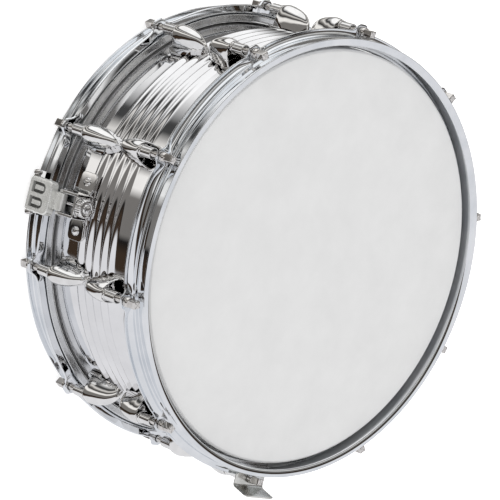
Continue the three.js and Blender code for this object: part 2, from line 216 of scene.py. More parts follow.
def rounded_box(x0, x1, y0, y1, z0, z1, bevel=0.5, corner=0.8):
    outline = fillet([(x0, y0), (x1, y0), (x1, y1), (x0, y1)], corner, 3)
    return slab(outline, z0, z1, bevel)


def moved(part, matrix):
    points, faces = part
    m = np.array(matrix, float)
    return points @ m[:3, :3].T + m[:3, 3], faces


def shifted(part, x=0, y=0, z=0):
    return part[0] + np.array([x, y, z]), part[1]


def turned(part, angle, axis="Z"):
    return moved(part, Matrix.Rotation(angle, 4, axis))


def bent(part, radius):
    """Wraps a part drawn flat (x round the drum, y up it, z outwards) onto the +Y side."""
    x, y, z = part[0].T
    angle = x / radius
    return np.stack([(radius + z) * np.sin(angle), (radius + z) * np.cos(angle), y], -1), part[1]


AXES_X = Matrix(((0, 0, 1, 0), (1, 0, 0, 0), (0, 1, 0, 0), (0, 0, 0, 1)))
AXES_Y = Matrix(((-1, 0, 0, 0), (0, 0, 1, 0), (0, 1, 0, 0), (0, 0, 0, 1)))
AXES_R = Matrix(((0, 0, 1, 0), (0, 1, 0, 0), (-1, 0, 0, 0), (0, 0, 0, 1)))


def across_x(part):
    """Drawn in Y and Z, extruded along X."""
    return moved(part, AXES_X)


def along_y(part):
    """Drawn in -X and Z, extruded along Y."""
    return moved(part, AXES_Y)


def joined(*parts):
    points, faces, start = [], [], 0
    for p, f in parts:
        points.append(p)
        faces += [tuple(start + i for i in face) for face in f]
        start += len(p)
    return np.vstack(points), faces


def mesh_of(part, name):
    points, faces = part
    mesh = bpy.data.meshes.new(name)
    mesh.from_pydata((np.array(points) * MM).tolist(), [], faces)
    mesh.validate()
    work = bmesh.new()
    work.from_mesh(mesh)
    bmesh.ops.remove_doubles(work, verts=work.verts, dist=1e-7)
    bmesh.ops.recalc_face_normals(work, faces=work.faces)
    work.to_mesh(mesh)
    work.free()
    return mesh


def carved(part, *tools):
    """The part with the tools cut out of it."""
    made = []
    for p in (part, *tools):
        o = bpy.data.objects.new("carving", mesh_of(p, "carving"))
        bpy.context.scene.collection.objects.link(o)
        made.append(o)
    for tool in made[1:]:
        cut = made[0].modifiers.new("cut", "BOOLEAN")
        cut.operation, cut.solver, cut.object = "DIFFERENCE", "EXACT", tool
    graph = bpy.context.evaluated_depsgraph_get()
    mesh = made[0].evaluated_get(graph).to_mesh()
    points = np.array([v.co for v in mesh.vertices], float) / MM
    faces = [tuple(p.vertices) for p in mesh.polygons]
    made[0].evaluated_get(graph).to_mesh_clear()
    for o in made:
        data = o.data
        bpy.data.objects.remove(o)
        bpy.data.meshes.remove(data)
    return points, faces


def piece(name, part, finish, body, nodes=(), place=None, sharp=32):
    """A piece from a part or a ready mesh, riding on a body and standing for CAD nodes."""
    mesh = part if isinstance(part, bpy.types.Mesh) else mesh_of(part, name)
    if not mesh.materials:
        mesh.materials.append(finish)
    mesh.shade_smooth()
    mesh.set_sharp_from_angle(angle=math.radians(sharp))
    o = bpy.data.objects.new(name, mesh)
    bpy.context.scene.collection.objects.link(o)
    o.matrix_world = CENTRE @ (place or Matrix.Identity(4))
    weighted = o.modifiers.new("normals", "WEIGHTED_NORMAL")
    weighted.keep_sharp = True
    weighted.weight = 60
    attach(o, body)
    if nodes:
        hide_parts(*nodes)
    return o


# ---- Finishes ----


class Tree:
    """A small helper to write a material's nodes."""

    def __init__(self, name):
        self.material = bpy.data.materials.new(name)
        self.material.use_nodes = True
        self.nodes = self.material.node_tree.nodes
        self.links = self.material.node_tree.links
        self.shader = self.nodes["Principled BSDF"]
        self.place = self.nodes.new("ShaderNodeTexCoord").outputs["Object"]

    def noise(self, scale, detail=3.0, rough=0.5, stretch=None):
        node = self.nodes.new("ShaderNodeTexNoise")
        node.inputs["Scale"].default_value = scale
        node.inputs["Detail"].default_value = detail
        node.inputs["Roughness"].default_value = rough
        source = self.place
        if stretch:
            mapping = self.nodes.new("ShaderNodeMapping")
            mapping.inputs["Scale"].default_value = stretch
            self.links.new(source, mapping.inputs["Vector"])
            source = mapping.outputs["Vector"]
        self.links.new(source, node.inputs["Vector"])
        return node.outputs["Fac"]

    def ramp(self, source, stops):
        node = self.nodes.new("ShaderNodeValToRGB")
        elements = node.color_ramp.elements
        while len(elements) < len(stops):
            elements.new(0.5)
        for element, (position, colour) in zip(elements, stops):
            element.position = position
            element.color = (*colour, 1)
        self.links.new(source, node.inputs["Fac"])
        return node.outputs["Color"]

    def spread(self, source, low, high, first=0.3, last=0.7):
        node = self.nodes.new("ShaderNodeMapRange")
        node.inputs["From Min"].default_value = first
        node.inputs["From Max"].default_value = last
        node.inputs["To Min"].default_value = low
        node.inputs["To Max"].default_value = high
        self.links.new(source, node.inputs["Value"])
        return node.outputs["Result"]

    def add(self, a, b):
        node = self.nodes.new("ShaderNodeMath")
        node.operation = "ADD"
        self.links.new(a, node.inputs[0])
        self.links.new(b, node.inputs[1])
        return node.outputs[0]

    def bump(self, source, distance, strength=1.0):
        node = self.nodes.new("ShaderNodeBump")
        node.inputs["Distance"].default_value = distance
        node.inputs["Strength"].default_value = strength
        self.links.new(source, node.inputs["Height"])
        self.links.new(node.outputs["Normal"], self.shader.inputs["Normal"])

    def feed(self, source, socket):
        self.links.new(source, self.shader.inputs[socket])


def metal(name, dark, light, smooth, rough, scale=55, bump=0.0, bump_scale=90, metallic=1.0):
    """A polished metal: slow tint changes, roughness in patches and fine wipe marks."""
    t = Tree(name)
    t.shader.inputs["Metallic"].default_value = metallic
    t.feed(t.ramp(t.noise(scale, 4), [(0.35, dark), (0.65, light)]), "Base Color")
    patches = t.spread(t.noise(scale * 0.6, 2), smooth, (smooth + rough) / 2)
    marks = t.spread(t.noise(350, 3, 0.6, (1, 1, 0.12)), 0.0, (rough - smooth) * 0.3, 0.5, 0.8)
    t.feed(t.add(patches, marks), "Roughness")
    if bump:
        t.bump(t.noise(bump_scale, 2, 0.45), bump, 0.35)
    return t.material


CHROME = metal("drum_chrome", (0.80, 0.80, 0.81), (0.88, 0.88, 0.89), 0.025, 0.09, 30, 0.00006, 55)
HOOP_CHROME = metal("hoop_chrome", (0.76, 0.785, 0.815), (0.87, 0.885, 0.905), 0.02, 0.06, 40)
CAST_CHROME = metal("lug_chrome", (0.79, 0.785, 0.78), (0.88, 0.875, 0.87), 0.02, 0.08, 120, 0.00004, 160)
ROD_CHROME = metal("rod_chrome", (0.58, 0.56, 0.54), (0.80, 0.78, 0.76), 0.05, 0.14, 220)
SATIN = metal("satin_chrome", (0.72, 0.72, 0.70), (0.80, 0.80, 0.78), 0.24, 0.36, 160, 0.00003, 300, 0.6)
# Painted shade: a dark finish for the plates in the lever's recesses, standing in for the shadow inside them.
PAINTED_RECESS_SHADE = metal("painted_recess_shade", (0.10, 0.10, 0.10), (0.17, 0.17, 0.165), 0.35, 0.5, 300, 0.00003, 300, 0.7)
NICKEL = metal("sling_nickel", (0.56, 0.56, 0.53), (0.74, 0.74, 0.71), 0.16, 0.28, 120, 0.00003, 260)
STEEL = metal("zinc_steel", (0.46, 0.47, 0.48), (0.64, 0.65, 0.67), 0.16, 0.34, 160, 0.00003, 500)
WIRE = metal("snare_wire_steel", (0.52, 0.52, 0.53), (0.74, 0.74, 0.75), 0.16, 0.3, 400)
ALUMINIUM = metal("brushed_aluminium", (0.62, 0.63, 0.64), (0.78, 0.79, 0.80), 0.22, 0.4, 60, 0.00002, 600)


def coated_film():
    t = Tree("coated_film")
    t.feed(
        t.ramp(t.noise(35, 5, 0.6), [(0.3, (0.735, 0.735, 0.735)), (0.7, (0.775, 0.775, 0.775))]),
        "Base Color",
    )
    grain = t.noise(2600, 2, 0.6)
    t.feed(t.spread(grain, 0.55, 0.75), "Roughness")
    t.bump(grain, 0.00003, 0.3)
    t.shader.inputs["Specular IOR Level"].default_value = 0.35
    return t.material


def strap_film():
    t = Tree("strap_film")
    t.feed(
        t.ramp(t.noise(400, 3), [(0.3, (0.015, 0.015, 0.017)), (0.7, (0.035, 0.035, 0.038))]),
        "Base Color",
    )
    weave = t.noise(1500, 2, 0.5, (1, 0.15, 1))
    t.feed(t.spread(weave, 0.3, 0.5), "Roughness")
    t.bump(weave, 0.00004, 0.5)
    return t.material


COATED = coated_film()
STRAP = strap_film()


# ---- Camera ----

CAMERA_PLACE = Vector((-0.222, -1.879, 1.9975))
CAMERA_RIGHT = Vector((-0.2443, 0.7083, 0.6623))
CAMERA_FORWARD = Vector((0.08611, 0.69592, -0.71294))
CAMERA_LENS = 227.5
SENSOR = 36

camera_data = bpy.data.cameras.new("camera")
camera_data.lens = CAMERA_LENS
camera_data.sensor_width = SENSOR
camera = bpy.data.objects.new("camera", camera_data)
bpy.context.scene.collection.objects.link(camera)
back = -CAMERA_FORWARD.normalized()
right = (CAMERA_RIGHT - back * CAMERA_RIGHT.dot(back)).normalized()
up = back.cross(right)
turn = Matrix((right, up, back)).transposed().to_4x4()
camera.matrix_world = Matrix.Translation(CAMERA_PLACE) @ turn
bpy.context.scene.camera = camera


# ---- Shell ----

SHELL_RADIUS = 176.8
SHELL_WALL = 1.2
BEADS = 5
BEAD_PITCH = 9.8
BEAD_RISE = 2.5
FLAT_END = 58
SHELL_SEGMENTS = 300
VENT_ANGLE = math.radians(126)
VENT_HEIGHT = 38
VENT_RADIUS = 5.6


def shell_part():
    half = BEADS * BEAD_PITCH / 2
    heights = np.linspace(-half, half, 106)
    rise = BEAD_RISE * (0.5 - 0.5 * np.cos((heights + half) * TAU / BEAD_PITCH)) ** 0.85
    inner_radius = SHELL_RADIUS - SHELL_WALL
    edge = fillet(
        [(SHELL_RADIUS, 60), (SHELL_RADIUS, 66.4), (175.2, 69.4), (173.2, 69.85), (169.7, 68)], 2.2, 5, False
    )
    lip = fillet([(169.7, 68), (173.4, 68.5), (inner_radius, 65.6), (inner_radius, 60)], 1.6, 5, False)
    beads = np.column_stack([SHELL_RADIUS + rise, heights])
    inner = np.column_stack([inner_radius + rise, heights])
    down = np.array([1, -1])
    flat_heights = np.linspace(half + 2, FLAT_END, 8)
    flat_out = [(SHELL_RADIUS, z) for z in flat_heights]
    flat_in = [(inner_radius, z) for z in flat_heights]
    outside = np.vstack([(edge * down)[::-1], (np.array(flat_out) * down)[::-1], beads, flat_out, edge])
    inside = np.vstack([lip, flat_in[::-1], inner[::-1], np.array(flat_in) * down, (lip * down)[::-1]])
    whole = ring(np.vstack([outside, inside[1:-1]]), SHELL_SEGMENTS)
    drill = spindle([(0, 165), (VENT_RADIUS, 165), (VENT_RADIUS, 190), (0, 190)], 48)
    drill = turned(drill, math.pi / 2, "Y")
    return carved(whole, turned(shifted(drill, z=VENT_HEIGHT), VENT_ANGLE))


def grommet_part():
    profile = fillet(
        [(3.6, 173.8), (7, 173.8), (7, 175), (5.2, 175),
         (5.2, 177.2), (8.2, 177.2), (7.6, 178.6), (3.6, 178.6)],
        0.5,
        4,
    )
    grommet = turned(ring(profile, 64), math.pi / 2, "Y")
    return turned(shifted(grommet, z=VENT_HEIGHT), VENT_ANGLE)


piece("shell", shell_part(), CHROME, "drum", ["shell"])
piece("vent_grommet", grommet_part(), CAST_CHROME, "drum", ["vent_grommet"])


# ---- Heads and flesh hoops ----

HEAD_FACE = 70.5
FILM = 0.35
COLLAR_END = 55.4
FLESH_BOTTOM = 54.9
FLESH_TOP = 61.4
HEAD_SEGMENTS = 240


def head_part():
    top = fillet([(60, HEAD_FACE), (176.2, HEAD_FACE), (178.1, 69.0), (178.7, COLLAR_END)], 1.4, 8, False)
    under = fillet(
        [(178.3, COLLAR_END), (177.7, 68.8), (176.0, HEAD_FACE - FILM), (60, HEAD_FACE - FILM)], 1.2, 8, False
    )
    faces = np.linspace(8, 52, 6)
    outside = [(0, HEAD_FACE)] + [(r, HEAD_FACE) for r in faces]
    inside = [(r, HEAD_FACE - FILM) for r in faces[::-1]] + [(0, HEAD_FACE - FILM)]
    return spindle(np.vstack([outside, top, under, inside]), HEAD_SEGMENTS)


def flesh_hoop_part():
    profile = fillet(
        [(179.1, FLESH_BOTTOM), (184.9, FLESH_BOTTOM), (184.9, FLESH_TOP), (179.1, FLESH_TOP)], 1.2, 5
    )
    return ring(profile, HEAD_SEGMENTS)


head_mesh = mesh_of(head_part(), "head")
flesh_hoop = mesh_of(flesh_hoop_part(), "flesh_hoop")
# Both heads wear the coated finish. The real resonant head is clear, as its slot says.
piece("batter_head", head_mesh, COATED, "drum", ["batter_head"])
piece("resonant_head", head_mesh, COATED, "drum", ["resonant_head"], FLIP)
piece("batter_flesh_hoop", flesh_hoop, ALUMINIUM, "drum", ["batter_flesh_hoop"])
piece("resonant_flesh_hoop", flesh_hoop, ALUMINIUM, "drum", ["resonant_flesh_hoop"], FLIP)


# ---- Counter hoops ----

EAR_TOP = 61
EAR_REACH = 7.0
EAR_HALF = 6.2
EAR_RAMP = 10.5
HOLE_RADIUS = 3.5
GATE_HALF = 18
GATE_TOP = 68.9
FLANGE_TOP = 57
FLANGE_BEND = 4.4
STEP_HEIGHT = 63.6
LIP_WIDE = 5.2
LIP_HIGH = 2.6
RIM_INSIDE = 182
RIM_TOP = 77.5
WALL_RADIUS = 187.3
RIM_OUTSIDE = 188.5
RIM_MIDDLE = 185
STEP_RADIUS = 184.2
FLANGE_EDGE = 193.4
FLESH_CLEAR = 185.4


def arc(x, z, wide, high, start, end, count=15):
    return [(x + wide * math.cos(t), z + high * math.sin(t)) for t in np.linspace(start, end, count)]


FLANGE_ARC = arc(
    WALL_RADIUS + FLANGE_BEND, FLANGE_TOP + FLANGE_BEND, FLANGE_BEND, FLANGE_BEND, 1.5 * math.pi, math.pi
)
LIP_ARC = arc(RIM_INSIDE + LIP_WIDE, RIM_TOP - LIP_HIGH, LIP_WIDE, LIP_HIGH, math.pi / 2, math.pi)
HOOP_PROFILE = [
    (192.8, 54.8), (FLANGE_EDGE, FLANGE_TOP), *FLANGE_ARC, (WALL_RADIUS, STEP_HEIGHT),
    (STEP_RADIUS, STEP_HEIGHT + 1), (STEP_RADIUS, 74.6), (RIM_OUTSIDE, 75.9), (RIM_OUTSIDE, RIM_TOP),
    *LIP_ARC, (RIM_INSIDE, STEP_HEIGHT - 0.8), (FLESH_CLEAR, STEP_HEIGHT - 1.6), (FLESH_CLEAR, 55),
]
HOOP_ROUNDING = [
    0.9, 0.9, *[0] * len(FLANGE_ARC), 0.9, 0.9, 1.6, 0.5, 0.5, *[0] * len(LIP_ARC), 0.9, 0.9, 2.6,
]


def eared(points, angle):
    """The hoop profile at one angle: the flange rises and reaches out into an ear near each rod."""
    away = (angle + LUG_SPACING / 2) % LUG_SPACING - LUG_SPACING / 2
    along = abs(away) * ROD_CIRCLE
    rise = (EAR_TOP - FLANGE_TOP) / (1 + (along / EAR_RAMP) ** 4)
    reach = EAR_REACH / (1 + (along / EAR_HALF) ** 6)
    still = STEP_HEIGHT - 0.4
    low = np.clip((still - points[:, 1]) / (still - FLANGE_TOP), 0, 1)
    out = np.clip((points[:, 0] - WALL_RADIUS) / (FLANGE_EDGE - WALL_RADIUS), 0, 1)
    out *= points[:, 1] < STEP_HEIGHT - 2
    return points + np.column_stack([reach * out**2, rise * low])


def swept(profile, angles, whole):
    """A ring whose profile changes with the angle."""
    points = np.array(
        [[(r * math.cos(t), r * math.sin(t), z) for r, z in eared(profile, t)] for t in angles]
    ).reshape(-1, 3)
    return points, grid_faces(len(angles), len(profile), whole, True)


def hoop_angles(low, high):
    """Angles between two limits, closer together at the ears."""
    near_ear, between_ears = np.linspace(-9, 9, 46), np.linspace(9, 27, 13)[1:-1]
    steps = np.concatenate([near_ear, between_ears]) * math.pi / 180
    every = np.sort((np.arange(-1, 2 * LUG_COUNT)[:, None] * LUG_SPACING + steps).ravel())
    margin = 0.002
    inside = every[(every > low + margin) & (every < high - margin)]
    return np.concatenate([[low], inside, [high]])


def rod_hole():
    """The solid that a rod hole takes out of an ear or the sling."""
    return shifted(spindle([(0, 50), (HOLE_RADIUS, 50), (HOLE_RADIUS, 66), (0, 66)], 32), x=ROD_CIRCLE)


def hoop_part(with_gates):
    """The hoop in one run, or in walls and low gates where the snares pass under."""
    profile = fillet(HOOP_PROFILE, HOOP_ROUNDING, 5)
    holes = joined(*[turned(rod_hole(), angle) for angle in LUG_ANGLES])
    parts = []
    if with_gates:
        half = math.asin(GATE_HALF / RIM_MIDDLE)
        below = profile.copy()
        below[:, 1] = np.minimum(below[:, 1], GATE_TOP)
        for middle, next_middle in ((math.pi / 2, 3 * math.pi / 2), (3 * math.pi / 2, 5 * math.pi / 2)):
            wall = swept(profile, hoop_angles(middle + half, next_middle - half), False)
            gate = swept(below, hoop_angles(middle - half, middle + half), False)
            parts += [carved(closed_ends(wall, len(profile)), holes), closed_ends(gate, len(profile))]
    else:
        parts.append(carved(swept(profile, hoop_angles(0, TAU)[:-1], True), holes))
    return joined(*parts)


def closed_ends(part, count):
    """A swept stretch with a face over each end; count is the number of points in its profile."""
    points, faces = part
    last = len(points) - count
    return points, faces + [tuple(range(count)), tuple(range(last + count - 1, last - 1, -1))]


piece("batter_hoop", hoop_part(False), HOOP_CHROME, "drum", ["batter_hoop"])
piece("resonant_hoop", hoop_part(True), HOOP_CHROME, "drum", ["resonant_hoop"], FLIP)


# ---- Lugs ----

# The bullet at heights up from mid-depth: half its width, and how far its crown stands from the axis.
LUG_MOUTH = 35
NUT_END = 50
NUT_START = 27.5
NUT_INSIDE = 3.5
NUT_OUTSIDE = 4.9
LUG_WALL = 1.5
BEAD_SEAT = 179.7
SHELL_SEAT = 177.2
LUG_STATIONS = [2, 3, 5, 9, 14, 19.6, 25.5, 30, 35]
LUG_HALVES = [0.4, 2.6, 4.4, 6.4, 8.2, 9.4, 10.4, 10.8, 10.1]
LUG_TOPS = [183.5, 187.6, 191.2, 195.0, 197.2, 198.8, 199.9, 200.3, 199.2]


def lug_section(z, shrink):
    """A dome over the shell at one height: flat base, upright sides and a round top."""
    half = np.interp(z, LUG_STATIONS, LUG_HALVES)
    top = np.interp(z, LUG_STATIONS, LUG_TOPS)
    base = np.interp(z, [0, 24.6, 25.6, 60], [BEAD_SEAT, BEAD_SEAT, SHELL_SEAT, SHELL_SEAT])
    half, top, base = half - shrink, top - shrink, base + shrink * 0.6
    t = np.linspace(0, math.pi, 33)
    fullness = 0.86
    y = half * np.sign(np.cos(t)) * np.abs(np.cos(t)) ** fullness
    r = base + (top - base) * np.abs(np.sin(t)) ** fullness
    floor = np.linspace(-half, half, 8)[1:-1]
    y = np.concatenate([y, floor])
    r = np.concatenate([r, np.full(len(floor), base)])
    return np.column_stack([r, y, np.full(len(y), z)])


def smoothed(loops, passes=3):
    """Loops blended with their neighbours, so that the run of sections is smooth."""
    loops = np.array(loops)
    for _ in range(passes):
        loops[1:-1] = 0.25 * loops[:-2] + 0.5 * loops[1:-1] + 0.25 * loops[2:]
    return list(loops)


def lug_part():
    """One lug: hollow bullet, foot plate on the shell, and the swivel nut with its flange."""
    heights = np.concatenate([[2, 2.3, 2.8, 3.5, 4.4, 5.6, 7], np.linspace(8.6, LUG_MOUTH - 0.5, 26)])
    outside = smoothed([lug_section(z, 0) for z in heights])
    lip = [lug_section(LUG_MOUTH, s) for s in (0.3, 0.8, 1.2)]
    inside = [lug_section(z, LUG_WALL) for z in (LUG_MOUTH - 0.5, 31, 27, 22)]
    body = loft(outside + lip + inside)
    outline = fillet(
        [(-25.2, -11), (-39, -11.2), (-46.5, -4.6), (-46.5, 4.6), (-39, 11.2), (-25.2, 11)],
        [1.5, 7, 4, 4, 7, 1.5],
        6,
    )
    foot = moved(slab(outline, 177.1, 179.5, 0.7, 6), AXES_R)
    nut_profile = fillet(
        [(NUT_INSIDE, NUT_START), (NUT_OUTSIDE, NUT_START), (NUT_OUTSIDE, NUT_END), (NUT_INSIDE, NUT_END)],
        0.6,
        4,
    )
    nut = shifted(ring(nut_profile, 32), x=ROD_CIRCLE)
    flange_profile = fillet([(4.4, 36.2), (5.5, 36.2), (5.5, 37.8), (4.4, 37.8)], 0.4, 3)
    flange = shifted(ring(flange_profile, 32), x=ROD_CIRCLE)
    return joined(body, foot, nut, flange)


# ---- Tension rods ----

ROD_END = 29
ROD_RADIUS = 2.75
SHANK_START = 56
WASHER_RADIUS = 4.6
WASHER_THICKNESS = 1.2
SQUARE_HALF = 3.1
SEAT_GAP = 0.45
THREAD_PITCH = 0.8
THREAD_DEPTH = 0.5


def thread(radius, low, high, around=16):
    """A helical thread with chamfered ends, in four rows a turn."""
    rows = int((high - low) / THREAD_PITCH * 4)
    z = np.linspace(low, high, rows)
    angle = np.arange(around) * TAU / around
    phase = (z[:, None] / THREAD_PITCH - angle[None, :] / TAU) % 1
    taper = np.clip(np.minimum(z - low, high - z) / 0.8, 0, 1)
    r = radius - THREAD_DEPTH * np.abs(2 * phase - 1) - 0.4 * (1 - taper[:, None])
    loops = []
    for row_radius, height in zip(r, z):
        level = np.full(around, height)
        loops.append(np.column_stack([row_radius * np.cos(angle), row_radius * np.sin(angle), level]))
    return loft(loops)


def rod_part(lift):
    """Thread, shank, washer, collar and square head. lift is how far the washer stands off the ear."""
    base = EAR_TOP + SEAT_GAP + lift
    start = SHANK_START
    shank = spindle(
        [(0, start), (2.3, start), (ROD_RADIUS, start + 0.6), (ROD_RADIUS, base + 2), (0, base + 2)], 24
    )
    top = base + WASHER_THICKNESS
    washer_profile = fillet(
        [(ROD_RADIUS, base), (WASHER_RADIUS, base), (WASHER_RADIUS, top), (ROD_RADIUS, top)], 0.4, 3
    )
    washer = ring(washer_profile, 32)
    bulge = fillet(
        [(4.3, base + 1.25), (4.4, base + 2.2), (4.1, base + 4.4), (2.4, base + 5)], 0.5, 3, False
    )
    collar = spindle([(0, base + 1), *bulge, (0, base + 5)], 32)
    side = SQUARE_HALF
    square = fillet([(-side, -side), (side, -side), (side, side), (-side, side)], 0.55, 3)
    head = slab(square, base + 3.9, base + 13.1, 0.9, 1, 4)
    whole = joined(thread(ROD_RADIUS, ROD_END, start + 0.4), shank, washer, collar, head)
    return shifted(whole, x=ROD_CIRCLE)


SLING_THICKNESS = 1.5
SLING_HALF = 17
SLING_GAP = 0.3
lug_mesh = mesh_of(lug_part(), "lug")
rod_mesh = mesh_of(rod_part(0), "tension_rod")
raised_mesh = mesh_of(rod_part(SLING_THICKNESS + SLING_GAP), "tension_rod_raised")
for side, flip in (("batter", Matrix.Identity(4)), ("resonant", FLIP)):
    for i in range(LUG_COUNT):
        lug_name, rod_name = f"{side}_lug_{i + 1}", f"{side}_rod_{i + 1}"
        low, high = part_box(rod_name)
        angle = math.atan2((low.y + high.y) / 2, (low.x + high.x) / 2)
        place = Matrix.Rotation(angle, 4, "Z") @ flip
        piece(lug_name, lug_mesh, CAST_CHROME, "drum", [lug_name], place)
        chosen = raised_mesh if side == "batter" and i == 0 else rod_mesh
        piece(rod_name, chosen, ROD_CHROME, rod_name, [rod_name], place)


# ---- Screws inside the shell that hold the lugs ----

LUG_SCREW_HEIGHTS = (-43, -29.5, 29.5, 43)
LUG_SCREW_SEAT = 175.3
HEXAGON_RADIUS = 3.4


def inner_screw():
    washer = ring(fillet([(1.8, 0), (5, 0), (5, 1), (1.8, 1)], 0.3, 2), 20)
    corners = [k * TAU / 6 for k in range(6)]
    hexagon = [(HEXAGON_RADIUS * math.cos(t), HEXAGON_RADIUS * math.sin(t)) for t in corners]
    head = slab(fillet(hexagon, 0.3, 2), 1, 3.4, 0.4)
    return joined(washer, head)


def lug_screws_part():
    screw = moved(inner_screw(), Matrix.Rotation(-math.pi / 2, 4, "Y"))
    parts = []
    for angle in LUG_ANGLES:
        for height in LUG_SCREW_HEIGHTS:
            parts.append(turned(shifted(screw, x=LUG_SCREW_SEAT, z=height), angle))
    return joined(*parts)


piece("lug_screws", lug_screws_part(), STEEL, "drum")


# ---- Sling bracket ----


def strip(centreline, thickness, half_width, corner=0.0, across=17):
    """A flat strip along a line in X and Z, its width along Y, with rounded corners at its ends."""
    line = np.array(centreline)
    along = np.gradient(line, axis=0)
    along /= np.linalg.norm(along, axis=1)[:, None]
    normal = np.column_stack([-along[:, 1], along[:, 0]])
    travelled = np.concatenate([[0], np.cumsum(np.linalg.norm(np.diff(line, axis=0), axis=1))])
    left = np.minimum(travelled, travelled[-1] - travelled)
    near = np.clip(corner - left, 0, corner)
    width = half_width - (corner - np.sqrt(np.maximum(corner**2 - near**2, 0)))
    bevel = thickness * 0.3
    loops = []
    for point, n, w in zip(line, normal, width):
        y = np.linspace(-w, w, across)
        fall = np.clip((np.abs(y) - (w - bevel)) / bevel, 0, 1)
        lift = thickness / 2 - bevel * (1 - np.sqrt(1 - fall**2))
        top = np.column_stack([point[0] + n[0] * lift, y, point[1] + n[1] * lift])
        bottom = np.column_stack([point[0] - n[0] * lift, y, point[1] - n[1] * lift])
        loops.append(np.vstack([top, bottom[::-1]]))
    return loft(loops)


def sling_part():
    low = EAR_TOP + SEAT_GAP
    middle = low + SLING_THICKNESS / 2
    line = fillet([(189, middle), (201.2, middle), (205.8, 79.4)], 3, 8, False)
    tab = strip(dense(line, 0.8), SLING_THICKNESS, SLING_HALF, 3.0, 33)
    return carved(tab, rod_hole())


piece("sling_bracket", sling_part(), NICKEL, "drum", ["sling_bracket"])


# ---- Snare wires and straps ----

WIRE_HALF = 151
STRANDS = 20
STRAND_PITCH = 2.0
COIL_RADIUS = 0.76
COIL_DEPTH = 0.32
WIRE_GAP = 0.3
PLATE_END = 163
STRAP_HALF = 10
STRAP_THICKNESS = 0.4
CLAMP_HALF = 19
CLAMP_NECK = 2.9
CLAMP_RADIAL = 194.5
CLAMP_HEIGHT = -70.6


def strand():
    """A coiled wire along Y, drawn as a fine deep thread."""
    rows, around, pitch = 700, 7, 1.3
    y = np.linspace(-WIRE_HALF - 1, WIRE_HALF + 1, rows)
    angle = np.arange(around) * TAU / around
    phase = (y[:, None] / pitch - angle[None, :] / TAU) % 1
    r = COIL_RADIUS - COIL_DEPTH * np.abs(2 * phase - 1)
    loops = []
    for row_radius, distance in zip(r, y):
        level = np.full(around, distance)
        loops.append(np.column_stack([row_radius * np.cos(angle), level, row_radius * np.sin(angle)]))
    return loft(loops)


def snare_wires_part():
    """Twenty strands side by side, held by a slotted and ribbed plate at each end."""
    face = -HEAD_FACE
    middle = face - WIRE_GAP - 0.8
    one = strand()
    first = -(STRANDS - 1) / 2 * STRAND_PITCH
    parts = [shifted(one, x=first + i * STRAND_PITCH, z=middle) for i in range(STRANDS)]
    for side in (-1, 1):
        plate = fillet([(-22, WIRE_HALF), (22, WIRE_HALF), (22, PLATE_END), (-22, PLATE_END)], 2.0, 4)
        plate = slab(plate * np.array([1, side]), face - 1.5, face - WIRE_GAP, 0.3)
        slot = fillet([(-11, 158.5), (11, 158.5), (11, 160.5), (-11, 160.5)], 0.9, 4)
        slot = slab(slot * np.array([1, side]), face - 4, face + 2, 0.05)
        parts.append(carved(plate, slot))
        rib = rounded_box(-21, 21, 152.2, 154.4, face - 2.0, face - 1.3, 0.3, 0.6)
        parts.append(rib if side > 0 else turned(rib, math.pi))
    return joined(*parts)


def strap_part():
    """The strap from the wires' end plate out under the hoop and up behind the clamp bar."""
    level, outer = -71.3, 191.1
    line = fillet([(PLATE_END + 0.3, level), (outer, level), (outer, -64.2)], 1.6, 6, False)
    return turned(strip(dense(line, 1.0), STRAP_THICKNESS, STRAP_HALF, 0.8, 11), math.pi / 2)


def clamp_bar_part():
    """A turned bar with a slotted screw head and a ribbed grip at each end."""
    end = -CLAMP_HALF
    head = [
        (0, end), (1.6, end), (2.4, end + 0.25), (3.2, end + 0.8),
        (3.5, end + 1.6), (3.5, end + 3.0), (3.2, end + 3.6), (2.7, end + 3.9),
    ]
    neck = [(2.7, end + 5), (CLAMP_NECK, end + 5.6)]
    ribs = []
    for k in range(9):
        z = end + 7 + k * 0.55
        ribs += [(CLAMP_NECK, z), (CLAMP_NECK - 0.25, z + 0.28)]
    low = head + neck + ribs + [(CLAMP_NECK, end + 12.2)]
    bar = spindle(low + [(r, -z) for r, z in reversed(low)], 36)
    ends = (-CLAMP_HALF, CLAMP_HALF)
    slots = [rounded_box(-0.5, 0.5, -4, 4, z - 0.9, z + 0.9, 0.08, 0.2) for z in ends]
    bar = carved(bar, *slots)
    return shifted(turned(bar, math.pi / 2, "Y"), y=CLAMP_RADIAL, z=CLAMP_HEIGHT)


HALF_TURN = Matrix.Rotation(math.pi, 4, "Z")
strap_mesh = mesh_of(strap_part(), "strap")
clamp_mesh = mesh_of(clamp_bar_part(), "clamp_bar")
piece("snare_wires", snare_wires_part(), WIRE, "snare_wires", ["snare_wires"])
piece("butt_strap", strap_mesh, STRAP, "snare_wires", ["butt_strap"])
piece("strainer_strap", strap_mesh, STRAP, "snare_wires", ["strainer_strap"], HALF_TURN)
piece("butt_clamp_bar", clamp_mesh, ROD_CHROME, "drum", ["butt_clamp_bar"])
piece(
    "strainer_clamp_bar", clamp_mesh, ROD_CHROME, "strainer_carriage", ["strainer_clamp_bar"],
    HALF_TURN,
)


# ---- Butt plate and strainer, drawn on the +Y side ----

FOOT_RADIUS = 179.6
FOOT_THICKNESS = 1.8
FOOT_HALF = 28.8
FOOT_MIDDLE = -24.5
FOOT_HEIGHT = 19
ARM_HALF = 10
ARM_SHELF = -61.4
ARM_INSIDE = 188
ARM_OUTSIDE = 196.8
SHEET = 2.2
BUTT_TOP = -20


